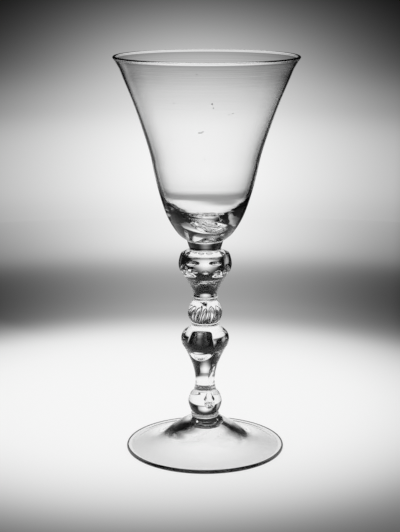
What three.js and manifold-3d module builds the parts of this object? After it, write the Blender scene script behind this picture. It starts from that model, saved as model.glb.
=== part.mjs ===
// A hand-blown baluster goblet in clear lead glass: eleven gathers of glass on one axis,
// each joined hot to the next over a flat round joint.
// Millimetres, +Z up, origin at the middle of the foot's resting ring.
import * as THREE from 'three';
import Module from 'manifold-3d';
import { mergeVertices } from 'three/addons/utils/BufferGeometryUtils.js';

// Foot: a cone on a spreading disc, hollow below, with a pontil scar
const FOOT_RADIUS = 37.3;
const FOOT_HEIGHT = 15.6;
const FOOT_CONE_RADIUS = 22;
const FOOT_CONE_HEIGHT = 5;
const FOOT_EDGE_THICKNESS = 1.9;
const FOOT_DISC_THICKNESS = 2.2;
const FOOT_REST_WIDTH = 1.5;
const FOOT_HOLLOW_HEIGHT = 10.2;
const PONTIL_RADIUS = 6.4;
const PONTIL_STUB = 0.8;
const PONTIL_BEVEL = 0.5;
const PONTIL_PIT_RADIUS = 3.6;
const PONTIL_PIT_DEPTH = 0.6;

// Collars: the thin discs, called mereses, that join the larger pieces
const COLLAR_SWELL = 0.4;
const FOOT_COLLAR_HEIGHT = 2;
const LOWER_COLLAR_HEIGHT = 1.5;
const UPPER_COLLAR_HEIGHT = 1.8;
const BOWL_COLLAR_HEIGHT = 4.7;
const BOWL_COLLAR_PINCH = 0.5;

// Ball knop, above the foot
const BALL_HEIGHT = 11.4;
const BALL_RADIUS = 7.9;
const BALL_WIDEST_HEIGHT = 5.3;

// Baluster: narrow below and wide at the shoulder
const BALUSTER_HEIGHT = 31.4;
const BALUSTER_WAIST_RADIUS = 4.5;
const BALUSTER_WAIST_HEIGHT = 3.8;
const BALUSTER_SHOULDER_RADIUS = 11.25;
const BALUSTER_SHOULDER_HEIGHT = 24.6;

// Tear: one bubble in the stem, an egg in the baluster that is drawn out to a thin line and
// swells again in the ball
const TEAR_TOP_RADIUS = 4.1;
const TEAR_TOP_DEPTH = 7.2;
const TEAR_TOP_LENGTH = 11.4;
const TEAR_BELLY_DEPTH = 4.8;
const TEAR_TAIL_RADIUS = 0.9;
const TEAR_NECK_RADIUS = 0.6;
const TEAR_DROP_RADIUS = 1.9;
const TEAR_DROP_FLOOR = 2.2;

// Ribbed knop, between the lower and the upper collar
const RIBBED_HEIGHT = 10.4;
const RIBBED_RADIUS = 8.15;
const RIBBED_DROOP = 0.78;
const RIB_COUNT = 16;
const RIB_DEPTH = 0.85;
const RIB_TWIST_DEGREES = 24;

// Beaded knop: a core pricked in two rows, cased in a second gather that closes each prick
const KNOP_HEIGHT = 21.8;
const KNOP_STALK_RADIUS = 5.6;
const KNOP_STALK_HEIGHT = 1.7;
const KNOP_RADIUS = 12.4;
const KNOP_WIDEST_HEIGHT = 15.2;
const CORE_HEIGHT = 15;
const CORE_RADIUS = 8.1;
const CORE_WIDEST_HEIGHT = 14.3;
const CORE_TOP_RADIUS = 5.6;
const CORE_CLEARANCE = 0.3;
const BEADS_PER_ROW = 9;
const BEAD_LOWER_ROW_HEIGHT = 13.6;
const BEAD_UPPER_ROW_HEIGHT = 18.1;
const BEAD_WIDTH = 3.1;
const BEAD_HEIGHT = 2.7;
const BEAD_DEPTH = 2.2;

// Bowl: a bell with a solid base and a fire-polished lip
const BOWL_HEIGHT = 84.5;
const BOWL_LIP_RADIUS = 42.3;
const BOWL_WAIST_RADIUS = 23.9;
const BOWL_WAIST_HEIGHT = 33;
const BOWL_FLARE = 1.25;
const LIP_THICKNESS = 1.35;
const BOWL_WALL = 1.15;
const BOWL_LOWER_WALL = 1.45;
const BOWL_WELL_RADIUS = 18.9;
const BOWL_WELL_HEIGHT = 18.6;
const BOWL_BASE_DEPTH = 5.1;
const BASE_TEAR_RADIUS = 5.2;
const BASE_TEAR_HEIGHT = 4.2;
const BASE_TEAR_WIDEST_HEIGHT = 2.3;
const BASE_TEAR_MOUTH_RADIUS = 1.4;

// Flat round joints between neighbours, named after the piece above and the piece below
const JOINT_COLLAR_ON_FOOT = 6.3;
const JOINT_BALL_ON_COLLAR = 6.1;
const JOINT_BALUSTER_ON_BALL = 5.05;
const JOINT_COLLAR_ON_BALUSTER = 6.4;
const JOINT_RIBBED_ON_COLLAR = 6.3;
const JOINT_COLLAR_ON_RIBBED = 5.7;
const JOINT_KNOP_ON_COLLAR = 5.45;
const JOINT_COLLAR_ON_KNOP = 8.2;
const JOINT_BOWL_ON_COLLAR = 8.1;

// Facets round the axis
const STEM_FACETS = 24;
const WIDE_FACETS = 40;
const FACETS_PER_RIB = 4;
const RIB_ROWS = 9;

const wasm = await Module();
wasm.setup();

const at = (radius, height) => new THREE.Vector2(radius, height);

// Points between two ends, each given by its share of the way up and its share of the way out.
function between(start, end, shares) {
  return shares.map(([up, out]) =>
    at(THREE.MathUtils.lerp(start.x, end.x, out), THREE.MathUtils.lerp(start.y, end.y, up)));
}

// A smooth outline that passes through every one of the points.
function smooth(points, stepsPerSpan) {
  const curve = new THREE.CatmullRomCurve3(
    points.map((p) => new THREE.Vector3(p.x, p.y, 0)), false, 'centripetal');
  const outline = curve.getPoints((points.length - 1) * stepsPerSpan);
  return outline.map((p) => at(Math.max(p.x, 0), p.y));
}

// Points on an arc of a circle, with angles in degrees from the outward direction.
function arc(centre, radius, from, to, steps) {
  return Array.from({ length: steps + 1 }, (_, i) => {
    const angle = THREE.MathUtils.degToRad(from + ((to - from) * i) / steps);
    return at(centre.x + radius * Math.cos(angle), centre.y + radius * Math.sin(angle));
  });
}

// A solid of revolution about +Z. The profile leaves the axis and comes back to it.
function turned(profile, facets) {
  const clean = profile.filter((p, i) => i === 0 || p.distanceTo(profile[i - 1]) > 1e-6);
  return new THREE.LatheGeometry(clean, facets).rotateX(Math.PI / 2);
}

function toSolid(geometry) {
  const bare = geometry.clone();
  bare.deleteAttribute('normal');
  bare.deleteAttribute('uv');
  const merged = mergeVertices(bare, 1e-4);
  return new wasm.Manifold(new wasm.Mesh({
    numProp: 3,
    vertProperties: merged.attributes.position.array,
    triVerts: new Uint32Array(merged.index.array),
  }));
}

function toGeometry(solid) {
  const mesh = solid.getMesh();
  const geometry = new THREE.BufferGeometry();
  geometry.setAttribute('position', new THREE.BufferAttribute(mesh.vertProperties, 3));
  geometry.setIndex(new THREE.BufferAttribute(mesh.triVerts, 1));
  geometry.computeVertexNormals();
  return geometry;
}

// The foot stands on a narrow flat ring. The scar under it is where the pontil rod was
// broken off: a low stub with a shallow pit in it.
function foot() {
  const edge = FOOT_EDGE_THICKNESS / 2;
  const shoulder = at(FOOT_RADIUS - edge, FOOT_EDGE_THICKNESS);
  const coneBase = at(FOOT_CONE_RADIUS, FOOT_CONE_HEIGHT);
  const hub = at(JOINT_COLLAR_ON_FOOT, FOOT_HEIGHT);
  const restInner = at(shoulder.x - FOOT_REST_WIDTH, 0);
  const hollowBase = at(FOOT_CONE_RADIUS, FOOT_CONE_HEIGHT - FOOT_DISC_THICKNESS);
  const hollowTop = at(PONTIL_RADIUS, FOOT_HOLLOW_HEIGHT);
  const scar = FOOT_HOLLOW_HEIGHT - PONTIL_STUB;
  return turned([
    at(0, scar + PONTIL_PIT_DEPTH),
    at(PONTIL_PIT_RADIUS, scar + PONTIL_PIT_DEPTH),
    at(PONTIL_PIT_RADIUS + PONTIL_BEVEL, scar),
    at(PONTIL_RADIUS - PONTIL_BEVEL, scar),
    ...smooth([
      hollowTop, ...between(hollowTop, hollowBase, [[0.45, 0.46]]),
      hollowBase, ...between(hollowBase, restInner, [[0.55, 0.36]]),
      restInner,
    ], 2),
    ...arc(at(shoulder.x, edge), edge, -90, 90, 4),
    ...smooth([
      shoulder, ...between(shoulder, coneBase, [[0.18, 0.42], [0.44, 0.7]]),
      coneBase, ...between(coneBase, hub, [[0.45, 0.4], [0.82, 0.78]]),
      hub,
    ], 2),
    at(0, FOOT_HEIGHT),
  ], WIDE_FACETS);
}

// A disc between two joints. Its side swells out between them, or is pinched in where the
// swell is negative.
function collar(height, lowerJoint, upperJoint, swell) {
  const steps = 5;
  const side = Array.from({ length: steps + 1 }, (_, i) => {
    const angle = (Math.PI * i) / steps;
    const up = (1 - Math.cos(angle)) / 2;
    return at(THREE.MathUtils.lerp(lowerJoint, upperJoint, up) + swell * Math.sin(angle), height * up);
  });
  return turned([at(0, 0), ...side, at(0, height)], STEM_FACETS);
}

// The lower end of the tear hangs in the ball and opens at the joint above.
function ballKnop() {
  const below = at(JOINT_BALL_ON_COLLAR, 0);
  const widest = at(BALL_RADIUS, BALL_WIDEST_HEIGHT);
  const above = at(JOINT_BALUSTER_ON_BALL, BALL_HEIGHT);
  const tearMouth = at(TEAR_NECK_RADIUS, BALL_HEIGHT);
  const drop = at(TEAR_DROP_RADIUS, BALL_WIDEST_HEIGHT);
  const dropFloor = at(0, TEAR_DROP_FLOOR);
  return turned([
    at(0, 0),
    ...smooth([
      below, ...between(below, widest, [[0.31, 0.5]]),
      widest, ...between(widest, above, [[0.55, 0.34], [0.87, 0.85]]),
      above,
    ], 2),
    ...smooth([
      tearMouth, ...between(tearMouth, drop, [[0.5, 0.35]]),
      drop, ...between(drop, dropFloor, [[0.7, 0.25]]),
      dropFloor,
    ], 2),
  ], STEM_FACETS);
}

// The tear's egg sits under the shoulder, and its thin line runs down to the joint below.
function baluster() {
  const below = at(JOINT_BALUSTER_ON_BALL, 0);
  const waist = at(BALUSTER_WAIST_RADIUS, BALUSTER_WAIST_HEIGHT);
  const shoulder = at(BALUSTER_SHOULDER_RADIUS, BALUSTER_SHOULDER_HEIGHT);
  const above = at(JOINT_COLLAR_ON_BALUSTER, BALUSTER_HEIGHT);
  const roof = at(0, BALUSTER_HEIGHT - TEAR_TOP_DEPTH);
  const belly = at(TEAR_TOP_RADIUS, roof.y - TEAR_BELLY_DEPTH);
  const tail = at(TEAR_TAIL_RADIUS, roof.y - TEAR_TOP_LENGTH);
  return turned([
    ...smooth([
      roof, ...between(roof, belly, [[0.25, 0.72]]),
      belly, ...between(belly, tail, [[0.6, 0.45]]),
      tail, at(TEAR_NECK_RADIUS, 0),
    ], 2),
    ...smooth([
      below, waist, ...between(waist, shoulder, [[0.3, 0.12], [0.58, 0.44], [0.78, 0.75], [0.88, 0.93]]),
      shoulder, ...between(shoulder, above, [[0.34, 0.11], [0.56, 0.34], [0.8, 0.82]]),
      above,
    ], 2),
    at(0, BALUSTER_HEIGHT),
  ], STEM_FACETS);
}

// Round-backed ribs with sharp valleys between them. They lean with the twist and die away
// at both joints.
function ribbedKnop() {
  const columns = RIB_COUNT * FACETS_PER_RIB;
  const twist = THREE.MathUtils.degToRad(RIB_TWIST_DEGREES);
  const positions = [0, 0, 0, 0, 0, RIBBED_HEIGHT];
  for (let row = 0; row <= RIB_ROWS; row++) {
    const up = (1 - Math.cos((Math.PI * row) / RIB_ROWS)) / 2;
    const swell = Math.sin(Math.PI * up ** RIBBED_DROOP);
    const joint = THREE.MathUtils.lerp(JOINT_RIBBED_ON_COLLAR, JOINT_COLLAR_ON_RIBBED, up);
    const crest = joint + (RIBBED_RADIUS - joint) * swell;
    for (let column = 0; column < columns; column++) {
      const angle = (2 * Math.PI * column) / columns + twist * (up - 0.5);
      const back = Math.sin((Math.PI * (column % FACETS_PER_RIB)) / FACETS_PER_RIB);
      const radius = crest - RIB_DEPTH * swell * (1 - back);
      positions.push(radius * Math.cos(angle), radius * Math.sin(angle), RIBBED_HEIGHT * up);
    }
  }
  const vertex = (row, column) => 2 + row * columns + (column % columns);
  const faces = [];
  for (let column = 0; column < columns; column++) {
    faces.push(0, vertex(0, column + 1), vertex(0, column));
    faces.push(1, vertex(RIB_ROWS, column), vertex(RIB_ROWS, column + 1));
    for (let row = 0; row < RIB_ROWS; row++) {
      const [a, b] = [vertex(row, column), vertex(row, column + 1)];
      const [c, d] = [vertex(row + 1, column), vertex(row + 1, column + 1)];
      faces.push(a, b, d, a, d, c);
    }
  }
  const geometry = new THREE.BufferGeometry();
  geometry.setAttribute('position', new THREE.Float32BufferAttribute(positions, 3));
  geometry.setIndex(faces);
  geometry.computeVertexNormals();
  return geometry;
}

// The core's outline in the knop's own heights. The casing's pocket is the same, grown.
function coreOutline(grown) {
  const tip = at(0, KNOP_HEIGHT - CORE_HEIGHT - grown);
  const widest = at(CORE_RADIUS + grown, CORE_WIDEST_HEIGHT);
  const top = at(CORE_TOP_RADIUS + grown, KNOP_HEIGHT);
  return smooth([
    tip, ...between(tip, widest, [[0.08, 0.42], [0.4, 0.84]]),
    widest, ...between(widest, top, [[0.45, 0.35]]),
    top,
  ], 2);
}

function radiusAt(outline, height) {
  const above = outline.findIndex((p) => p.y > height);
  const [low, high] = [outline[above - 1], outline[above]];
  return THREE.MathUtils.mapLinear(height, low.y, high.y, low.x, high.x);
}

// One row of air beads, each half in the core and half in the casing.
function beadRow(height, turn) {
  const ringRadius = radiusAt(coreOutline(CORE_CLEARANCE / 2), height);
  return Array.from({ length: BEADS_PER_ROW }, (_, i) => {
    const bead = new THREE.SphereGeometry(0.5, 6, 5);
    bead.scale(BEAD_DEPTH, BEAD_WIDTH, BEAD_HEIGHT);
    bead.translate(ringRadius, 0, height);
    bead.rotateZ((2 * Math.PI * (i + turn)) / BEADS_PER_ROW - Math.PI / 2);
    return toSolid(bead);
  });
}

// The rows are set half a step apart.
function beads() {
  return wasm.Manifold.union([
    ...beadRow(BEAD_LOWER_ROW_HEIGHT, 0),
    ...beadRow(BEAD_UPPER_ROW_HEIGHT, 0.5),
  ]);
}

function knopCore() {
  const core = turned([...coreOutline(0), at(0, KNOP_HEIGHT)], STEM_FACETS);
  return toGeometry(toSolid(core).subtract(beads()));
}

function knopCasing() {
  const below = at(JOINT_KNOP_ON_COLLAR, 0);
  const stalk = at(KNOP_STALK_RADIUS, KNOP_STALK_HEIGHT);
  const widest = at(KNOP_RADIUS, KNOP_WIDEST_HEIGHT);
  const above = at(JOINT_COLLAR_ON_KNOP, KNOP_HEIGHT);
  const casing = turned([
    at(0, 0),
    ...smooth([
      below, stalk, ...between(stalk, widest, [[0.3, 0.2], [0.59, 0.57], [0.84, 0.92]]),
      widest, ...between(widest, above, [[0.55, 0.14], [0.78, 0.3], [0.91, 0.65]]),
      above,
    ], 2),
    ...coreOutline(CORE_CLEARANCE).reverse(),
  ], STEM_FACETS);
  return toGeometry(toSolid(casing).subtract(beads()));
}

// A flat bubble trapped in the base of the bowl, over the joint.
function baseTear() {
  const roof = at(0, BASE_TEAR_HEIGHT);
  const edge = at(BASE_TEAR_RADIUS, BASE_TEAR_WIDEST_HEIGHT);
  const mouth = at(BASE_TEAR_MOUTH_RADIUS, 0);
  return smooth([
    roof, ...between(roof, edge, [[0.22, 0.68]]),
    edge, ...between(edge, mouth, [[0.75, 0.35]]),
    mouth,
  ], 2);
}

// The bell's wall thickens downwards and turns in to a round-bottomed well over the base.
function bowl() {
  const joint = at(JOINT_BOWL_ON_COLLAR, 0);
  const waist = at(BOWL_WAIST_RADIUS, BOWL_WAIST_HEIGHT);
  const lipEdge = LIP_THICKNESS / 2;
  const lip = at(BOWL_LIP_RADIUS - lipEdge, BOWL_HEIGHT - lipEdge);
  const flare = between(waist, lip, [0.2, 0.4, 0.6, 0.8].map((up) => [up, up ** BOWL_FLARE]));
  const outerBase = smooth([
    joint, ...between(joint, waist, [[0.03, 0.11], [0.1, 0.28], [0.31, 0.565], [0.6, 0.79]]),
    waist,
  ], 2);
  const well = at(BOWL_WELL_RADIUS, BOWL_WELL_HEIGHT);
  const floor = at(0, BOWL_BASE_DEPTH);
  const innerWaist = at(BOWL_WAIST_RADIUS - BOWL_LOWER_WALL, BOWL_WAIST_HEIGHT);
  const innerBase = smooth([
    innerWaist, ...between(innerWaist, well, [[0.5, 0.4]]),
    well, ...between(well, floor, [[0.4, 0.11], [0.8, 0.36], [0.95, 0.62]]),
    floor,
  ], 2);
  return turned([
    ...baseTear(),
    ...outerBase,
    ...flare,
    ...arc(lip, lipEdge, 0, 180, 4),
    ...flare.toReversed().map((p) => at(p.x - BOWL_WALL, p.y)),
    ...innerBase,
  ], WIDE_FACETS);
}

// The stack from the table up, with how far each piece raises the next. The core and its
// casing share one height.
const stack = [
  ['foot', foot(), FOOT_HEIGHT],
  ['foot_collar',
    collar(FOOT_COLLAR_HEIGHT, JOINT_COLLAR_ON_FOOT, JOINT_BALL_ON_COLLAR, COLLAR_SWELL),
    FOOT_COLLAR_HEIGHT],
  ['ball_knop', ballKnop(), BALL_HEIGHT],
  ['baluster', baluster(), BALUSTER_HEIGHT],
  ['lower_collar',
    collar(LOWER_COLLAR_HEIGHT, JOINT_COLLAR_ON_BALUSTER, JOINT_RIBBED_ON_COLLAR, COLLAR_SWELL),
    LOWER_COLLAR_HEIGHT],
  ['ribbed_knop', ribbedKnop(), RIBBED_HEIGHT],
  ['upper_collar',
    collar(UPPER_COLLAR_HEIGHT, JOINT_COLLAR_ON_RIBBED, JOINT_KNOP_ON_COLLAR, COLLAR_SWELL),
    UPPER_COLLAR_HEIGHT],
  ['knop_core', knopCore(), 0],
  ['knop_casing', knopCasing(), KNOP_HEIGHT],
  ['bowl_collar',
    collar(BOWL_COLLAR_HEIGHT, JOINT_COLLAR_ON_KNOP, JOINT_BOWL_ON_COLLAR, -BOWL_COLLAR_PINCH),
    BOWL_COLLAR_HEIGHT],
  ['bowl', bowl(), BOWL_HEIGHT],
];

const goblet = new THREE.Group();
let level = 0;
for (const [name, geometry, height] of stack) {
  const clearGlass = new THREE.MeshStandardMaterial({ color: 0xe6ecea, roughness: 0.05 });
  const piece = new THREE.Mesh(geometry, clearGlass);
  piece.name = name;
  piece.position.z = level;
  goblet.add(piece);
  level += height;
}

export default goblet;
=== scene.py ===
"""Looks of a hand-blown baluster goblet in clear lead glass, built round its CAD frame."""

import math

import bmesh
import bpy
from mathutils import Matrix, Vector


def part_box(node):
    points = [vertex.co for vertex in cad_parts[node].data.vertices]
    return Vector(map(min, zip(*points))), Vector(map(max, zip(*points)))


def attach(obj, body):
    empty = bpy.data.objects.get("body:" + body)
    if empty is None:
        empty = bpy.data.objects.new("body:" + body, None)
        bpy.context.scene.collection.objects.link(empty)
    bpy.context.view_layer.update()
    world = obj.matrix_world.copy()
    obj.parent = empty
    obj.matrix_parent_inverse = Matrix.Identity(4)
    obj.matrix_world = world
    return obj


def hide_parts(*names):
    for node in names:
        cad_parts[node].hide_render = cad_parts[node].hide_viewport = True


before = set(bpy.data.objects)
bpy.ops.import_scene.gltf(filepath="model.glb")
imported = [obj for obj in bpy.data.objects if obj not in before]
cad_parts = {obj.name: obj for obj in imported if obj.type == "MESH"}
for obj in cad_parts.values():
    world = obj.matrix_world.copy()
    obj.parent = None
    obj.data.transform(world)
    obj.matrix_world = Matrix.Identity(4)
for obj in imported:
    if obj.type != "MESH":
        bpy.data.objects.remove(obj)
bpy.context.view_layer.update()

# The goblet's sizes are in millimetres and the stage's in metres. Outline points are
# (radius, height above the piece's lowest point).
MM = 0.001
SEGMENTS = 160
ON_AXIS = 1e-7
SHORTEST_STEP = 1e-9
CREASE_DEGREES = 40

# Camera: lens and place fitted to the ellipses of the lip and the foot
CAMERA_DISTANCE = 0.6157
CAMERA_HEIGHT = 0.230
CAMERA_SIDE = -0.0024
CAMERA_PITCH = 12.97
FOCAL_PIXELS = 1360.8
IMAGE_LONG_SIDE = 532
SENSOR = 36.0

# Places in a piece's list of materials
SKIN, SEAM, SCAR_SHADED_FACE, RIM_SHADED_FACE, HOLLOW_FACE = range(5)


# Outlines
def catmull(points, steps):
    """A smooth line through the points, as centripetal Catmull-Rom spans."""
    pts = [Vector(p) for p in points]
    first = pts[0] * 2 - pts[1]
    last = pts[-1] * 2 - pts[-2]
    ext = [first, *pts, last]
    out = []
    for i in range(1, len(ext) - 2):
        p0, p1, p2, p3 = ext[i - 1 : i + 3]
        t0 = 0.0
        t1 = t0 + max((p1 - p0).length ** 0.5, SHORTEST_STEP)
        t2 = t1 + max((p2 - p1).length ** 0.5, SHORTEST_STEP)
        t3 = t2 + max((p3 - p2).length ** 0.5, SHORTEST_STEP)
        for k in range(steps):
            t = t1 + (t2 - t1) * k / steps
            a1 = p0 * ((t1 - t) / (t1 - t0)) + p1 * ((t - t0) / (t1 - t0))
            a2 = p1 * ((t2 - t) / (t2 - t1)) + p2 * ((t - t1) / (t2 - t1))
            a3 = p2 * ((t3 - t) / (t3 - t2)) + p3 * ((t - t2) / (t3 - t2))
            b1 = a1 * ((t2 - t) / (t2 - t0)) + a2 * ((t - t0) / (t2 - t0))
            b2 = a2 * ((t3 - t) / (t3 - t1)) + a3 * ((t - t1) / (t3 - t1))
            out.append(b1 * ((t2 - t) / (t2 - t1)) + b2 * ((t - t1) / (t2 - t1)))
    out.append(pts[-1])
    return [Vector((max(p.x, 0.0), p.y)) for p in out]


def between(start, end, shares):
    """Points between two ends, by share of the way up and share of the way out."""
    (r0, z0), (r1, z1) = start, end
    return [(r0 + (r1 - r0) * out, z0 + (z1 - z0) * up) for up, out in shares]


def arc(centre, radius, start, end, steps):
    """Points on an arc, from one angle in degrees to another."""
    r, z = centre
    out = []
    for i in range(steps + 1):
        a = math.radians(start + (end - start) * i / steps)
        out.append((r + radius * math.cos(a), z + radius * math.sin(a)))
    return out


def disc(edge, middle=3):
    """A flat face from the axis out to an edge point, with one ring between."""
    radius, height = edge
    return [(0, height), (middle, height), (radius, height)]


def curve_at(pairs, at):
    """Value at a position, eased between (position, value) pairs."""
    for (p0, v0), (p1, v1) in zip(pairs, pairs[1:]):
        if p0 <= at <= p1:
            share = (at - p0) / (p1 - p0)
            return v0 + (v1 - v0) * share * share * (3 - 2 * share)
    return pairs[-1][1]


def smooth_step(start, end, at):
    """Share from 0 to 1 of the way from start to end, eased at both."""
    share = min(max((at - start) / (end - start), 0), 1)
    return share * share * (3 - 2 * share)


def radius_at(outline, height):
    """Radius of an outline at a height."""
    for (r0, z0), (r1, z1) in zip(outline, outline[1:]):
        if z0 <= height <= z1:
            return r0 + (r1 - r0) * (height - z0) / (z1 - z0)
    return outline[-1][0]


def scatter(i, k):
    """A fixed pseudo-random number from -1 to 1."""
    return math.modf(math.sin(12.9898 * (i + 1) + 78.233 * (k + 1)) * 43758.5453)[0]


# Meshes
class Surface:
    """Collects rings of vertices and strips of faces for one piece."""

    def __init__(self):
        self.verts = []
        self.faces = []
        self.mats = []

    def ring(self, r, z, place, segments):
        if r < ON_AXIS:
            self.verts.append(place(0.0, z, 0.0))
            return [len(self.verts) - 1]
        first = len(self.verts)
        for i in range(segments):
            self.verts.append(place(r, z, 2 * math.pi * i / segments))
        return list(range(first, first + segments))

    def strip(self, a, b, mat):
        """Faces between two rings, either of which may be a single point."""
        n = max(len(a), len(b))
        for i in range(n):
            j = (i + 1) % n
            if len(a) == 1:
                face = (a[0], b[j], b[i])
            elif len(b) == 1:
                face = (a[i], a[j], b[0])
            else:
                face = (a[i], a[j], b[j], b[i])
            self.faces.append(face)
            self.mats.append(mat)

    def turned(self, runs, segments=SEGMENTS):
        """runs: (points, material, place) from one end of the profile to the other."""
        last = None
        for points, mat, place in runs:
            rings = [] if last is None else [last]
            todo = points if last is None else points[1:]
            for r, z in todo:
                rings.append(self.ring(r, z, place, segments))
            for a, b in zip(rings, rings[1:]):
                self.strip(a, b, mat)
            last = rings[-1]

    def bubble(self, centre, radii, turn=None, rings=16, segments=28, shape=None):
        """A closed air bubble: an ellipsoid whose faces look inwards, into its air."""
        turn = turn or Matrix.Identity(3)
        c = Vector(centre)
        rx, ry, rz = (v * MM for v in radii)

        def place(r, z, a):
            p = Vector((r * math.cos(a), r * math.sin(a), z))
            if shape:
                p = shape(p)
            return c + turn @ Vector((p.x * rx, p.y * ry, p.z * rz))

        angles = [math.pi * i / rings for i in range(rings + 1)]
        profile = [(math.sin(a), math.cos(a)) for a in angles]
        profile[0] = (0.0, 1.0)
        profile[-1] = (0.0, -1.0)
        self.turned([(profile, SKIN, place)], segments)

    def piece(self, name, materials):
        """The object, smooth but for its creases and the borders between materials."""
        mesh = bpy.data.meshes.new(name)
        mesh.from_pydata([tuple(v) for v in self.verts], [], self.faces)
        for m in materials:
            mesh.materials.append(m)
        mesh.polygons.foreach_set("material_index", self.mats)
        mesh.polygons.foreach_set("use_smooth", [True] * len(self.faces))
        mesh.update()
        bm = bmesh.new()
        bm.from_mesh(mesh)
        crease = math.radians(CREASE_DEGREES)
        for e in bm.edges:
            if len(e.link_faces) == 2:
                a, b = e.link_faces
                if a.material_index != b.material_index or e.calc_face_angle(0.0) > crease:
                    e.smooth = False
        bm.to_mesh(mesh)
        bm.free()
        obj = bpy.data.objects.new(name, mesh)
        bpy.context.scene.collection.objects.link(obj)
        return obj


def straight(up=0.0):
    """Places profile points in millimetres on the upright axis, raised by up."""

    def place(r, z, a):
        return Vector((r * math.cos(a) * MM, r * math.sin(a) * MM, (z + up) * MM))

    return place


# Materials
GLASS_IOR = 1.56
GLASS_SHINE = 0.3
CLEAR = 0.99
STEM_WAVES = (60, 60, 400)
STEM_WAVE_DEPTH = 0.00002
BOWL_WAVES = (20, 20, 60)
BOWL_WAVE_DEPTH = 0.000002
SCAR_WAVES = (300, 300, 300)
SCAR_WAVE_DEPTH = 0.00001


def node(tree, kind, **values):
    n = tree.nodes.new(kind)
    for key, value in values.items():
        setattr(n, key, value)
    return n


def empty_material(name):
    """A material with only its output node, and that node."""
    mat = bpy.data.materials.new(name)
    mat.use_nodes = True
    mat.node_tree.nodes.clear()
    return mat, mat.node_tree, node(mat.node_tree, "ShaderNodeOutputMaterial")


def glass_material(name, tint, waves, wave_depth, rough=0.0, shine=GLASS_SHINE):
    """Clear glass, or glass darkened as painted shade, with faint hand-worked waves in its surface."""
    mat = bpy.data.materials.new(name)
    mat.use_nodes = True
    tree = mat.node_tree
    bsdf = tree.nodes["Principled BSDF"]
    bsdf.inputs["Base Color"].default_value = (tint, tint, tint, 1)
    bsdf.inputs["Transmission Weight"].default_value = 1.0
    bsdf.inputs["IOR"].default_value = GLASS_IOR
    bsdf.inputs["Roughness"].default_value = rough
    bsdf.inputs["Specular Tint"].default_value = (shine, shine, shine, 1)
    coords = node(tree, "ShaderNodeTexCoord")
    stretch = node(tree, "ShaderNodeMapping")
    stretch.inputs["Scale"].default_value = waves
    noise = node(tree, "ShaderNodeTexNoise")
    noise.inputs["Scale"].default_value = 1.0
    noise.inputs["Detail"].default_value = 3.0
    bump = node(tree, "ShaderNodeBump")
    bump.inputs["Strength"].default_value = 1.0
    bump.inputs["Distance"].default_value = wave_depth
    tree.links.new(coords.outputs["Object"], stretch.inputs["Vector"])
    tree.links.new(stretch.outputs["Vector"], noise.inputs["Vector"])
    tree.links.new(noise.outputs["Fac"], bump.inputs["Height"])
    tree.links.new(bump.outputs["Normal"], bsdf.inputs["Normal"])
    return mat


def joint_material():
    """The fused joints inside the glass, which don't show."""
    mat, tree, out = empty_material("fused_joint")
    clear = node(tree, "ShaderNodeBsdfTransparent")
    tree.links.new(clear.outputs["BSDF"], out.inputs["Surface"])
    return mat


GLASS = glass_material("lead_glass", CLEAR, STEM_WAVES, STEM_WAVE_DEPTH)
BOWL_GLASS = glass_material("bowl_glass", CLEAR, BOWL_WAVES, BOWL_WAVE_DEPTH)
# The pontil scar is near-black glass: painted shade, where the clear glass only looks dark.
SCAR_PAINTED_SHADE = glass_material("pontil_painted_shade", 0.03, SCAR_WAVES, SCAR_WAVE_DEPTH)
# The foot's round edge is near-black glass with no shine: painted shade for its dark outline and its
# contact with the table.
RIM_PAINTED_SHADE = glass_material("foot_rim_painted_shade", 0.02, STEM_WAVES, STEM_WAVE_DEPTH, shine=0.0)
HOLLOW = glass_material("foot_hollow_glass", CLEAR, STEM_WAVES, STEM_WAVE_DEPTH, rough=0.08)
JOINT = joint_material()


def finish_piece(surface, name, node_name, materials=None):
    obj = surface.piece(name, materials or [GLASS, JOINT])
    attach(obj, "root")
    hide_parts(node_name)


def level(node_name):
    """Height in millimetres of the lowest point of a CAD node."""
    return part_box(node_name)[0].z / MM


# Foot: the hollow wanders sideways with its height, (height, shift)
HOLLOW_SHIFT = [(0.0, 0.0), (2.0, 0.0), (5.0, -0.4), (7.5, 0.0), (10.2, 0.9), (12.0, 0.9)]
FOOT_SHOULDER_RADIUS = 36.35
FOOT_EDGE = 0.95
# Angle up the foot's round edge at which its painted shade ends
RIM_SHADE_END = 80
CONE_FOOT = 3.0
SCAR_LEVEL = 9.4
SCAR_PIT = 0.6


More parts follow.
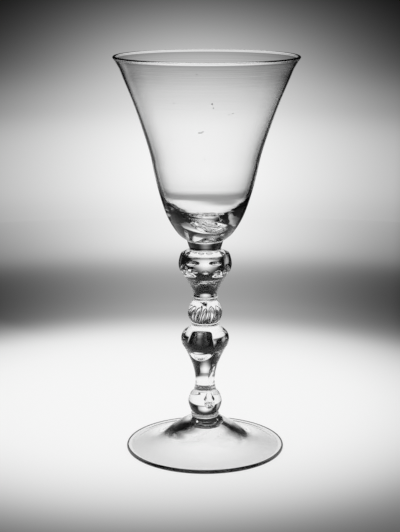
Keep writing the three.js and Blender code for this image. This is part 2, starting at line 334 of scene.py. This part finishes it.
def make_foot():
    shoulder = (FOOT_SHOULDER_RADIUS, 2 * FOOT_EDGE)
    edge_centre = (FOOT_SHOULDER_RADIUS, FOOT_EDGE)
    cone_base, hub = (22, 5), (6.3, 15.6)
    rest_inner, hollow_base, hollow_top = (34.85, 0), (22, 2.8), (6.4, 10.2)
    pit = SCAR_LEVEL + SCAR_PIT
    hollow = catmull(
        [hollow_top, *between(hollow_top, hollow_base, [(0.45, 0.46)]),
         hollow_base, *between(hollow_base, rest_inner, [(0.55, 0.36)]), rest_inner], 8)
    top = catmull(
        [shoulder, *between(shoulder, cone_base, [(0.18, 0.42), (0.44, 0.7)]),
         cone_base, *between(cone_base, hub, [(0.45, 0.4), (0.82, 0.78)]), hub], 8)
    cone = [point for point in hollow if point[1] > CONE_FOOT]
    scar = [*((r, pit) for r in (0, 1.2, 2.4, 3.6)), *((r, SCAR_LEVEL) for r in (4.1, 5.0, 5.9))]
    place = straight()

    def hollow_place(r, z, a):
        return place(r, z, a) + Vector((curve_at(HOLLOW_SHIFT, z) * MM, 0, 0))

    s = Surface()
    s.turned([
        # The pontil scar takes the near-black glass: painted shade.
        ([*scar, hollow_top], SCAR_SHADED_FACE, hollow_place),
        (cone, HOLLOW_FACE, hollow_place),
        (hollow[len(cone) - 1:], SKIN, hollow_place),
        ([rest_inner, (FOOT_SHOULDER_RADIUS, 0)], SKIN, place),
        # Most of the foot's round edge, from beneath to near its top, is near-black glass: painted shade.
        (arc(edge_centre, FOOT_EDGE, -90, RIM_SHADE_END, 12), RIM_SHADED_FACE, place),
        (arc(edge_centre, FOOT_EDGE, RIM_SHADE_END, 90, 4), SKIN, place),
        (top, SKIN, place),
        (disc(hub)[::-1], SEAM, place),
    ])
    finish_piece(s, "foot_glass", "foot", [GLASS, JOINT, SCAR_PAINTED_SHADE, RIM_PAINTED_SHADE, HOLLOW])


# Collars: the sides of three of them, drawn as listed points, and a plain swell for the lowest
LOWER_COLLAR = [(6.4, 0), (6.4, 0.12), (6.55, 0.6), (6.85, 1.15), (6.75, 1.38), (6.3, 1.5)]
UPPER_COLLAR = [(5.7, 0), (5.7, 0.15), (5.85, 0.8), (6.15, 1.4), (6.0, 1.68), (5.45, 1.8)]
BOWL_COLLAR = [
    (8.2, 0), (7.4, 0.25), (7.25, 0.6), (7.65, 2.0), (8.3, 4.2), (8.35, 4.5), (8.1, 4.7)]


def collar_side(height, low, high, swell, steps=14):
    """The side of a collar that swells out between its two joints."""
    side = []
    for i in range(steps + 1):
        a = math.pi * i / steps
        up = (1 - math.cos(a)) / 2
        side.append((low + (high - low) * up + swell * math.sin(a), height * up))
    return side


def make_collar(node_name, side):
    """A thin disc between two pieces, from the outline of its side."""
    place = straight(up=level(node_name))
    s = Surface()
    s.turned([
        (disc(side[0], side[0][0] * 0.5), SEAM, place),
        (side, SKIN, place),
        (disc(side[-1], side[-1][0] * 0.5)[::-1], SEAM, place),
    ])
    finish_piece(s, node_name + "_glass", node_name)


# Ball and baluster: the tear is a closed egg, and under it a thin line of air that wanders,
# (height above the baluster's foot, shift)
AIR_LINE = [(-30.0, 1.6), (0.0, 1.3), (5.6, 1.5), (9.0, 1.9), (12.6, 2.6), (30.0, 2.6)]
EGG_SHIFT = -1.4
EGG_LEVEL = 20.3
EGG_RADII = (4.1, 4.1, 5.2)
EGG_TAPER = 0.2


def wandering(up, base):
    """Places profile points on the air line's wandering middle, whose heights count from base."""

    def place(r, z, a):
        dx = curve_at(AIR_LINE, z + up - base)
        return Vector(((r * math.cos(a) + dx) * MM, r * math.sin(a) * MM, (z + up) * MM))

    return place


def egg(p):
    """Narrows the lower end of a round bubble."""
    k = 1 + EGG_TAPER * p.z
    return Vector((p.x * k, p.y * k, p.z))


def make_ball():
    z = level("ball_knop")
    below, widest, above = (6.1, 0), (7.9, 5.3), (5.05, 11.4)
    mouth, neck, drop, floor = (0.5, 11.4), (0.6, 9.0), (1.9, 5.0), (0, 2.4)
    outer = catmull(
        [below, *between(below, widest, [(0.31, 0.5)]),
         widest, *between(widest, above, [(0.55, 0.34), (0.87, 0.85)]), above], 8)
    tear = catmull(
        [mouth, neck, *between(mouth, drop, [(0.7, 0.6)]),
         drop, *between(drop, floor, [(0.7, 0.35)]), floor], 8)
    place = straight(up=z)
    wander = wandering(z, level("baluster"))
    s = Surface()
    s.turned([
        (disc(below), SEAM, place),
        (outer, SKIN, place),
        ([above, mouth], SEAM, wander),
        (tear, SKIN, wander),
    ])
    finish_piece(s, "ball_knop_glass", "ball_knop")


def make_baluster():
    z = level("baluster")
    below, waist, shoulder, above = (5.05, 0), (4.5, 3.8), (11.25, 24.6), (6.4, 31.4)
    rise = [(0.3, 0.12), (0.58, 0.44), (0.78, 0.75), (0.88, 0.93)]
    outer = catmull(
        [below, waist, *between(waist, shoulder, rise),
         shoulder, *between(shoulder, above, [(0.34, 0.11), (0.56, 0.34), (0.8, 0.82)]), above], 8)
    line = catmull([(0, 13.2), (0.55, 12.4), (0.75, 10.0), (0.6, 6.0), (0.5, 2.0), (0.5, 0)], 8)
    place = straight(up=z)
    s = Surface()
    s.turned([
        (line, SKIN, wandering(z, z)),
        ([line[-1], below], SEAM, place),
        (outer, SKIN, place),
        (disc(above)[::-1], SEAM, place),
    ])
    centre = (EGG_SHIFT * MM, 0, (z + EGG_LEVEL) * MM)
    s.bubble(centre, EGG_RADII, rings=40, segments=96, shape=egg)
    finish_piece(s, "baluster_glass", "baluster")


# Ribbed knop: the ribs lean, and fade out between the two shares of its height
RIB_COUNT = 16
RIB_DEPTH = 0.8
RIB_TWIST = math.radians(16)
RIB_ROUNDNESS = 0.9
RIB_FADE = (0.92, 0.66)
COLUMNS_PER_RIB = 16
RIB_ROWS = 48
RIBBED_HEIGHT = 10.4
RIBBED_LOW_JOINT = 6.3
RIBBED_HIGH_JOINT = 5.7
RIBBED_RADIUS = 8.15
RIBBED_DROOP = 0.78


def make_ribbed():
    z0 = level("ribbed_knop")
    s = Surface()
    rings = []
    columns = RIB_COUNT * COLUMNS_PER_RIB
    for row in range(RIB_ROWS + 1):
        up = (1 - math.cos(math.pi * row / RIB_ROWS)) / 2
        swell = math.sin(math.pi * up**RIBBED_DROOP)
        joint = RIBBED_LOW_JOINT + (RIBBED_HIGH_JOINT - RIBBED_LOW_JOINT) * up
        crest = joint + (RIBBED_RADIUS - joint) * swell
        ribbing = swell * smooth_step(*RIB_FADE, up)
        z = (z0 + RIBBED_HEIGHT * up) * MM
        first = len(s.verts)
        for c in range(columns):
            a = 2 * math.pi * c / columns + RIB_TWIST * (up - 0.5)
            back = abs(math.sin(math.pi * c / COLUMNS_PER_RIB)) ** RIB_ROUNDNESS
            r = crest - RIB_DEPTH * ribbing * (1 - back)
            s.verts.append(Vector((r * math.cos(a) * MM, r * math.sin(a) * MM, z)))
        rings.append(list(range(first, first + columns)))
    s.verts.append(Vector((0, 0, z0 * MM)))
    s.strip([len(s.verts) - 1], rings[0], SEAM)
    for a, b in zip(rings, rings[1:]):
        s.strip(a, b, SKIN)
    s.verts.append(Vector((0, 0, (z0 + RIBBED_HEIGHT) * MM)))
    s.strip(rings[-1], [len(s.verts) - 1], SEAM)
    finish_piece(s, "ribbed_knop_glass", "ribbed_knop")


# Beaded knop: rows of beads are (height, turn as a share of a bead's spacing)
BEAD_ROWS = [(13.6, 0.06), (19.4, 0.56)]
BEADS_PER_ROW = 9
BEAD_RADII = (0.9, 1.5, 0.75)
BEAD_SINK = 1.2
BEAD_STRAY_TURN = 0.08
BEAD_STRAY_HEIGHT = 0.35
BEAD_STRAY_SIZE = 0.12
KNOP_HEIGHT = 21.8
CORE_TOP = 5.6
CORE_CLEARANCE = 0.03


def core_outline(grown):
    """The core from its tip to its top, made larger by grown."""
    tip, widest = (0, 6.8 - grown), (8.1 + grown, 14.3)
    top = (CORE_TOP + grown, KNOP_HEIGHT)
    return catmull(
        [tip, *between(tip, widest, [(0.08, 0.42), (0.4, 0.84)]),
         widest, *between(widest, top, [(0.45, 0.35)]), top], 8)


def add_beads(core, z0):
    """Air beads that lie a little unevenly, as pricked by hand."""
    outline = core_outline(0)
    for row, (z, turn) in enumerate(BEAD_ROWS):
        ring = radius_at(outline, z) - BEAD_SINK
        for i in range(BEADS_PER_ROW):
            steps = i + turn + BEAD_STRAY_TURN * scatter(i, row)
            a = 2 * math.pi * steps / BEADS_PER_ROW - math.pi / 2
            dz = BEAD_STRAY_HEIGHT * scatter(i, row + 5)
            size = 1 + BEAD_STRAY_SIZE * scatter(i, row + 9)
            centre = (ring * math.cos(a) * MM, ring * math.sin(a) * MM, (z0 + z + dz) * MM)
            core.bubble(centre, [v * size for v in BEAD_RADII], Matrix.Rotation(a, 3, "Z"))


def make_knop():
    z0 = level("knop_casing")
    below, stalk, widest, above = (5.45, 0), (5.5, 1.4), (12.4, 15.2), (8.2, KNOP_HEIGHT)
    outer = catmull(
        [below, stalk, *between(stalk, widest, [(0.3, 0.26), (0.55, 0.57), (0.8, 0.9)]),
         widest, *between(widest, above, [(0.55, 0.14), (0.78, 0.3), (0.91, 0.65)]), above], 8)
    place = straight(up=z0)
    casing = Surface()
    casing.turned([
        (disc(below), SEAM, place),
        (outer, SKIN, place),
        ([above, (CORE_TOP + CORE_CLEARANCE, KNOP_HEIGHT)], SEAM, place),
        (core_outline(CORE_CLEARANCE)[::-1], SEAM, place),
    ])
    core = Surface()
    core.turned([
        (core_outline(0), SEAM, place),
        ([(CORE_TOP, KNOP_HEIGHT), (0, KNOP_HEIGHT)], SEAM, place),
    ])
    add_beads(core, z0)
    finish_piece(casing, "knop_casing_glass", "knop_casing")
    finish_piece(core, "knop_core_glass", "knop_core")


# Bowl: its wall, the well in its base, its lean, and its seeds as (across, height,
# (half width, half height))
BOWL_JOINT = (8.1, 0)
BOWL_WAIST = (23.9, 33)
LIP_RADIUS = 42.3
LIP_TOP = 84.5
LIP_EDGE = 0.725
FLARE = 1.25
UPPER_WALL = 1.05
LOWER_WALL_EXTRA = 0.35
LOWER_WALL_START = (60, 30)
BASE_SWELL = 2.2
BASE_REACH = 3.6
LIP_START = 66
LIP_END = 83.8
LIP_SWELL = 0.48
RIPPLE = 0.001
RIPPLE_LEAST = 0.25
RIPPLE_GROWTH = (45, 78)
RIPPLE_START = (12, 22)
RIPPLES = ((1.9, 0.5), (1.27, -0.8), (0.83, 0.3), (3.1, -0.4))
RING_SPACING = 0.2
WELL_TOP = 14.5
WELL_TURN = (3, 1.5, 0)
WALL_END = 3.1
WELL_FLOOR = [(12.4, 12.0), (8.4, 9.4), (4.3, 7.7), (0, 7.1)]
WELL_SHIFT = 3.0
WELL_SHIFT_START = 16
BASE_BUBBLE_CENTRE = (0.3, 3.6)
BASE_BUBBLE_RADII = (5.4, 4.6, 2.1)
BASE_BUBBLE_TILT = -20
SWIRL = 0.16
LEAN = 0.6
LEAN_START = 10
LEAN_LENGTH = 75
SEED_DEPTH = 0.6
SEED_THICKNESS = 0.16
SEEDS = [
    (-2.6, 53.4, (0.95, 0.2)), (-1.5, 53.9, (0.5, 0.14)), (2.3, 66.4, (0.28, 0.42)),
    (2.9, 64.6, (0.22, 0.24)), (11.3, 62.0, (0.35, 0.15)), (9.6, 61.4, (0.2, 0.15)),
    (-4.3, 79.4, (0.25, 0.18)), (-14.0, 66.5, (0.3, 0.16))]
SMALL_SEEDS = 26
SMALL_SEED_HEIGHT, SMALL_SEED_RANGE = 40, 19
SMALL_SEED_SIZE, SMALL_SEED_SPREAD = 0.1, 0.05
SMALL_SEED_STRETCH = 1.6


def wall(z):
    """Thickness of the bowl's wall, which swells towards the solid base and under the lip."""
    base = BASE_SWELL * math.exp(-(z - WELL_TOP) / BASE_REACH)
    lip = LIP_SWELL * (max(z - LIP_START, 0) / (LIP_END - LIP_START)) ** 2
    return UPPER_WALL + LOWER_WALL_EXTRA * smooth_step(*LOWER_WALL_START, z) + base + lip


def ripple(z, a):
    """Faint rings that the shaping tools left inside, strongest under the lip."""
    total = 0.0
    for i, (length, tilt) in enumerate(RIPPLES):
        phase = tilt * math.sin(a + i) + 0.7 * math.sin(2 * a + 2.3 * i)
        total += math.sin(2 * math.pi * z / length + phase + 1.9 * i)
    growth = RIPPLE_LEAST + (1 - RIPPLE_LEAST) * smooth_step(*RIPPLE_GROWTH, z)
    return RIPPLE * total * growth * smooth_step(*RIPPLE_START, z)


def bowl_outside(lip):
    """From the joint up the bell to the lip."""
    cup = [(0.03, 0.11), (0.1, 0.28), (0.31, 0.565), (0.6, 0.79)]
    shares = [(u, u**FLARE) for u in (0.1, 0.2, 0.3, 0.4, 0.5, 0.6, 0.7, 0.8, 0.9)]
    return catmull(
        [BOWL_JOINT, *between(BOWL_JOINT, BOWL_WAIST, cup),
         BOWL_WAIST, *between(BOWL_WAIST, lip, shares), (lip[0] + LIP_EDGE, lip[1])], 6)


def bowl_inside(outer, lip):
    """From the lip down the wall, in rings close enough for the ripples, and into the well."""
    upper = []
    for (r0, height0), (r1, height1) in zip(outer, outer[1:]):
        steps = max(int((height1 - height0) / RING_SPACING), 1)
        for k in range(steps):
            height = height0 + (height1 - height0) * k / steps
            if height >= WELL_TOP + WALL_END:
                upper.append((r0 + (r1 - r0) * k / steps - wall(height), height))
    turn = [(radius_at(outer, z) - wall(z), z) for z in (WELL_TOP + up for up in WELL_TURN)]
    return [(lip[0] - LIP_EDGE, lip[1]), *reversed(upper), *catmull([*turn, *WELL_FLOOR], 8)]


def swirl(p):
    """Folds a round bubble as it winds up."""
    a = math.atan2(p.y, p.x)
    k = 1 + SWIRL * math.sin(2 * a + 3.0 * p.z + 0.6)
    return Vector((p.x * k, p.y * k, p.z))


def add_seeds(s, outer, place):
    """Small air seeds in the wall: those that show most, and others strewn about."""
    for across, height, (width, tall) in SEEDS:
        radius = radius_at(outer, height) - SEED_DEPTH
        a = math.asin(across / radius) - math.pi / 2
        centre = place(radius, height, a)
        s.bubble(centre, (SEED_THICKNESS, width, tall), Matrix.Rotation(a, 3, "Z"), 8, 12)
    for i in range(SMALL_SEEDS):
        height = SMALL_SEED_HEIGHT + SMALL_SEED_RANGE * scatter(i, 2)
        a = math.pi * scatter(i, 5)
        size = SMALL_SEED_SIZE + SMALL_SEED_SPREAD * scatter(i, 8)
        centre = place(radius_at(outer, height) - SEED_DEPTH, height, a)
        s.bubble(centre, (size, size * SMALL_SEED_STRETCH, size), Matrix.Rotation(a, 3, "Z"), 6, 10)


def make_bowl():
    z0 = level("bowl")
    lip = (LIP_RADIUS - LIP_EDGE, LIP_TOP - LIP_EDGE)
    outer = bowl_outside(lip)

    def place(r, z, a):
        dx = LEAN * max(z - LEAN_START, 0) / LEAN_LENGTH
        return Vector(((r * math.cos(a) + dx) * MM, r * math.sin(a) * MM, (z + z0) * MM))

    def inner_place(r, z, a):
        aside = WELL_SHIFT * smooth_step(WELL_SHIFT_START, WELL_FLOOR[-1][1], z) * MM
        return place(r + ripple(z, a), z, a) + Vector((aside, 0, 0))

    s = Surface()
    s.turned([
        (disc(BOWL_JOINT, 4), SEAM, place),
        (outer, SKIN, place),
        (arc(lip, LIP_EDGE, 0, 180, 14), SKIN, place),
        (bowl_inside(outer, lip), SKIN, inner_place),
    ])
    across, height = BASE_BUBBLE_CENTRE
    tilt = Matrix.Rotation(math.radians(BASE_BUBBLE_TILT), 3, "Y")
    s.bubble((across * MM, 0, (z0 + height) * MM), BASE_BUBBLE_RADII, tilt, 32, 64, swirl)
    add_seeds(s, outer, place)
    finish_piece(s, "bowl_glass", "bowl", [BOWL_GLASS, JOINT])


make_foot()
make_collar("foot_collar", collar_side(height=2, low=6.3, high=6.1, swell=0.4))
make_ball()
make_baluster()
make_collar("lower_collar", catmull(LOWER_COLLAR, 6))
make_ribbed()
make_collar("upper_collar", catmull(UPPER_COLLAR, 6))
make_knop()
make_collar("bowl_collar", catmull(BOWL_COLLAR, 6))
make_bowl()


# Stage: a table top inside a round backdrop. Tones are screen greys.
DRUM_RADIUS = 0.58
DRUM_HEIGHT = 0.70
DRUM_SEGMENTS = 160
SURROUND = 0.006
TONE_TOP = 1.25

# Pool of light round the goblet, by metres from its centre, and where it gives way to the glow
POOL_CENTRE = (-0.02, 0.075)
POOL_TONES = [(0.0, 0.97), (0.1, 0.95), (0.2, 0.4), (0.25, 0.1), (0.5, 0.05)]
POOL_SHARE = 0.92
POOL_BLEND = (0.19, 0.27)

# Glow behind the goblet, by degrees above the camera's level: light, with one dark strip
BAND_TONES = [(-45, 0.9), (-17, 0.93), (-14, 0.63), (-12, 0.92), (-9, 0.97), (-6, 0.88), (-2, 0.42)]
PANEL_TONES = [(0.2, 0.3), (0.22, 0.1), (0.24, 0.03)]
PANEL_END_TONE = 0.03

# The glow is repeated behind each viewing side, as (direction in degrees, spread, strength)
GLOWS = ((0, 1.0, 1.0), (-45, 0.5, 0.5), (-90, 0.5, 0.5), (135, 0.5, 0.5))
GLOW_OFFSET = 0.3
GLOW_START = (0.1, 0.25)
GLOW_SPREAD = 6.9
GLOW_EDGE = (1.2, 1.55)

# How much the glow narrows sideways, by metres out on the table and up on the backdrop
FLOOR_NARROWING = [(0.0, 0.6), (0.15, 0.6), (0.22, 1.5), (0.34, 2.3), (0.45, 1.5), (0.6, 1.0)]
WALL_NARROWING = [(0.0, 1.0), (0.04, 0.8), (0.1, 1.4), (0.19, 3.4), (0.7, 4.0)]
NARROWEST = 4.0

# World, by degrees above the horizon
CEILING_TONES = [(0, 0.05), (66, 0.05), (71, 0.9), (90, 0.95)]


def drum_foot():
    """Angle at which the camera sees the backdrop meet the table."""
    return -math.degrees(math.atan(CAMERA_HEIGHT / (DRUM_RADIUS + CAMERA_DISTANCE)))


def tone_at(angle):
    """The glow's tone at an angle, straight between its points."""
    for (a0, t0), (a1, t1) in zip(BAND_TONES, BAND_TONES[1:]):
        if a0 <= angle <= a1:
            return t0 + (t1 - t0) * (angle - a0) / (a1 - a0)
    return BAND_TONES[-1][1]


def wall_tones():
    """The glow's tones by height on the backdrop."""
    away = DRUM_RADIUS + CAMERA_DISTANCE
    tones = [(CAMERA_HEIGHT + away * math.tan(math.radians(a)), t) for a, t in BAND_TONES]
    tones = [(h, t) for h, t in tones if 0 < h < DRUM_HEIGHT]
    return [(0.0, tone_at(drum_foot())), *tones, *PANEL_TONES, (DRUM_HEIGHT, PANEL_END_TONE)]


def floor_tones():
    """The glow's tones by distance on the table."""
    tones = [(CAMERA_HEIGHT / math.tan(math.radians(-a)) - CAMERA_DISTANCE, t) for a, t in BAND_TONES]
    tones = [(r, t) for r, t in tones if 0 < r < DRUM_RADIUS]
    return [(0.0, tones[0][1]), *tones, (DRUM_RADIUS, tone_at(drum_foot()))]


def lin(v):
    """Screen grey level to light level."""
    return v / 12.92 if v <= 0.04045 else ((v + 0.055) / 1.055) ** 2.4


def calc(tree, op, *values, clamp=False):
    """A maths node on numbers and sockets, and its result."""
    n = node(tree, "ShaderNodeMath", operation=op, use_clamp=clamp)
    for i, v in enumerate(values):
        if isinstance(v, (int, float)):
            n.inputs[i].default_value = v
        else:
            tree.links.new(v, n.inputs[i])
    return n.outputs[0]


def value_curve(tree, value, pairs, top):
    """A smooth value from 0 to top, read from (position, value) pairs."""
    low = pairs[0][0]
    high = pairs[-1][0]
    n = node(tree, "ShaderNodeFloatCurve")
    curve = n.mapping.curves[0]
    n.mapping.use_clip = False
    points = [((p - low) / (high - low), v / top) for p, v in pairs]
    curve.points[0].location = points[0]
    curve.points[1].location = points[-1]
    for p in points[1:-1]:
        curve.points.new(*p)
    for p in curve.points:
        p.handle_type = "AUTO_CLAMPED"
    n.mapping.update()
    at = calc(tree, "DIVIDE", calc(tree, "SUBTRACT", value, low), high - low, clamp=True)
    tree.links.new(at, n.inputs["Value"])
    return calc(tree, "MULTIPLY", n.outputs[0], top)


def tone_curve(tree, value, tones):
    """Light level read from (position, screen level) pairs."""
    return value_curve(tree, value, [(p, lin(t)) for p, t in tones], TONE_TOP)


def fade(tree, value, limits, start=0.0, end=1.0):
    """Runs smoothly from start to end while value crosses the two limits."""
    n = node(tree, "ShaderNodeMapRange", interpolation_type="SMOOTHSTEP")
    tree.links.new(value, n.inputs["Value"])
    for name, number in zip(("From Min", "From Max", "To Min", "To Max"), (*limits, start, end)):
        n.inputs[name].default_value = number
    return n.outputs["Result"]


def glow_across(tree, x, y, narrowing):
    """How much of each side's glow a viewer across the goblet sees at a place on the stage."""
    glow = 0.0
    for centre, spread, strength in GLOWS:
        sine = math.sin(math.radians(centre))
        cosine = math.cos(math.radians(centre))
        ahead = calc(tree, "ADD", calc(tree, "MULTIPLY", x, sine), calc(tree, "MULTIPLY", y, cosine))
        ahead = calc(tree, "ADD", ahead, CAMERA_DISTANCE)
        across = calc(tree, "SUBTRACT", calc(tree, "MULTIPLY", x, cosine), calc(tree, "MULTIPLY", y, sine))
        angle = calc(tree, "DEGREES", calc(tree, "ARCTAN2", across, ahead))
        aside = calc(tree, "DIVIDE", calc(tree, "ADD", angle, GLOW_OFFSET), spread * GLOW_SPREAD)
        squared = calc(tree, "MULTIPLY", calc(tree, "MULTIPLY", aside, aside), -0.5)
        lobe = calc(tree, "EXPONENT", calc(tree, "MULTIPLY", squared, narrowing))
        lobe = calc(tree, "MULTIPLY", lobe, fade(tree, calc(tree, "ABSOLUTE", aside), GLOW_EDGE, 1.0, 0.0))
        lobe = calc(tree, "MULTIPLY", lobe, fade(tree, ahead, GLOW_START))
        glow = calc(tree, "ADD", calc(tree, "MULTIPLY", lobe, strength), glow)
    return glow


def grey(tree, value):
    n = node(tree, "ShaderNodeCombineColor")
    for i in range(3):
        tree.links.new(value, n.inputs[i])
    return n.outputs[0]


def place_axes(tree):
    """The object's own coordinates, and their three numbers."""
    coords = node(tree, "ShaderNodeTexCoord").outputs["Object"]
    way = node(tree, "ShaderNodeSeparateXYZ")
    tree.links.new(coords, way.inputs[0])
    return coords, way.outputs


def length_of(tree, vector):
    n = node(tree, "ShaderNodeVectorMath", operation="LENGTH")
    tree.links.new(vector, n.inputs[0])
    return n.outputs["Value"]


def mix_into(tree, out, share, first, second):
    """Sends a mix of two shaders to the output."""
    mix = node(tree, "ShaderNodeMixShader")
    tree.links.new(share, mix.inputs["Fac"])
    tree.links.new(first.outputs[0], mix.inputs[1])
    tree.links.new(second.outputs[0], mix.inputs[2])
    tree.links.new(mix.outputs[0], out.inputs["Surface"])


def stage_piece(name, mesh, mat):
    obj = bpy.data.objects.new(name, mesh)
    bpy.context.scene.collection.objects.link(obj)
    mesh.materials.append(mat)


def make_table():
    """A pale table top with a pool of light."""
    mesh = bpy.data.meshes.new("table_top")
    bm = bmesh.new()
    bmesh.ops.create_circle(bm, cap_ends=True, radius=DRUM_RADIUS, segments=DRUM_SEGMENTS)
    bm.to_mesh(mesh)
    bm.free()
    mat, tree, out = empty_material("table_paper")
    coords, (x, y, _) = place_axes(tree)
    shift = node(tree, "ShaderNodeVectorMath", operation="SUBTRACT")
    shift.inputs[1].default_value = (*POOL_CENTRE, 0)
    tree.links.new(coords, shift.inputs[0])
    pool = tone_curve(tree, length_of(tree, shift.outputs[0]), POOL_TONES)
    reach = length_of(tree, coords)
    glow = glow_across(tree, x, y, value_curve(tree, reach, FLOOR_NARROWING, NARROWEST))
    far = calc(tree, "MULTIPLY", tone_curve(tree, reach, floor_tones()), glow)
    far = calc(tree, "MAXIMUM", far, SURROUND)
    share = fade(tree, reach, POOL_BLEND)
    near = calc(tree, "MULTIPLY", pool, calc(tree, "SUBTRACT", 1.0, share))
    tone = grey(tree, calc(tree, "ADD", calc(tree, "MULTIPLY", far, share), near))
    paper = node(tree, "ShaderNodeBsdfDiffuse")
    tree.links.new(tone, paper.inputs["Color"])
    shine = node(tree, "ShaderNodeEmission")
    tree.links.new(tone, shine.inputs["Color"])
    path = node(tree, "ShaderNodeLightPath")
    seen = calc(tree, "MAXIMUM", path.outputs["Is Camera Ray"], path.outputs["Is Glossy Ray"])
    seen = calc(tree, "MAXIMUM", seen, path.outputs["Is Transmission Ray"])
    shining = calc(tree, "MULTIPLY", seen, calc(tree, "MAXIMUM", share, POOL_SHARE))
    mix_into(tree, out, shining, paper, shine)
    stage_piece("table_top", mesh, mat)


def make_backdrop():
    """A round backdrop with a soft glow behind each viewing side, seen from inside only."""
    mesh = bpy.data.meshes.new("backdrop")
    n = DRUM_SEGMENTS
    angles = [2 * math.pi * i / n for i in range(n)]
    verts = [
        (DRUM_RADIUS * math.cos(a), DRUM_RADIUS * math.sin(a), z)
        for z in (0.0, DRUM_HEIGHT) for a in angles]
    faces = [((i + 1) % n, i, n + i, n + (i + 1) % n) for i in range(n)]
    mesh.from_pydata(verts, [], faces)
    mesh.update()
    mat, tree, out = empty_material("backdrop_glow")
    x, y, z = place_axes(tree)[1]
    tone = tone_curve(tree, z, wall_tones())
    glow = glow_across(tree, x, y, value_curve(tree, z, WALL_NARROWING, NARROWEST))
    seen = calc(tree, "MAXIMUM", calc(tree, "MULTIPLY", glow, tone), SURROUND)
    shine = node(tree, "ShaderNodeEmission")
    tree.links.new(grey(tree, seen), shine.inputs["Color"])
    clear = node(tree, "ShaderNodeBsdfTransparent")
    side = node(tree, "ShaderNodeNewGeometry")
    path = node(tree, "ShaderNodeLightPath")
    hidden = calc(tree, "MAXIMUM", side.outputs["Backfacing"], path.outputs["Is Diffuse Ray"])
    mix_into(tree, out, hidden, shine, clear)
    mat.cycles.emission_sampling = "NONE"
    stage_piece("backdrop", mesh, mat)


def make_world():
    """A dim ceiling, bright overhead, over the goblet, and plain light for the table."""
    world = bpy.data.worlds.new("studio")
    bpy.context.scene.world = world
    world.use_nodes = True
    tree = world.node_tree
    tree.nodes.clear()
    out = node(tree, "ShaderNodeOutputWorld")
    coords = node(tree, "ShaderNodeTexCoord")
    way = node(tree, "ShaderNodeSeparateXYZ")
    tree.links.new(coords.outputs["Generated"], way.inputs[0])
    elevation = calc(tree, "DEGREES", calc(tree, "ARCSINE", way.outputs[2]))
    shown = node(tree, "ShaderNodeBackground")
    tree.links.new(grey(tree, tone_curve(tree, elevation, CEILING_TONES)), shown.inputs["Color"])
    plain = node(tree, "ShaderNodeBackground")
    plain.inputs["Color"].default_value = (1, 1, 1, 1)
    path = node(tree, "ShaderNodeLightPath")
    bounced = calc(tree, "GREATER_THAN", path.outputs["Diffuse Depth"], 0.5)
    mix_into(tree, out, bounced, shown, plain)


def make_camera():
    data = bpy.data.cameras.new("camera")
    data.sensor_width = SENSOR
    data.lens = SENSOR * FOCAL_PIXELS / IMAGE_LONG_SIDE
    data.clip_start = 0.01
    data.clip_end = 50
    cam = bpy.data.objects.new("camera", data)
    cam.location = (CAMERA_SIDE, -CAMERA_DISTANCE, CAMERA_HEIGHT)
    cam.rotation_euler = (math.radians(90 - CAMERA_PITCH), 0, 0)
    bpy.context.scene.collection.objects.link(cam)
    bpy.context.scene.camera = cam


make_table()
make_backdrop()
make_world()
make_camera()

scene = bpy.context.scene
scene.view_settings.view_transform = "Standard"
scene.cycles.max_bounces = 40
scene.cycles.transmission_bounces = 32
scene.cycles.glossy_bounces = 12
scene.cycles.diffuse_bounces = 3
scene.cycles.transparent_max_bounces = 64
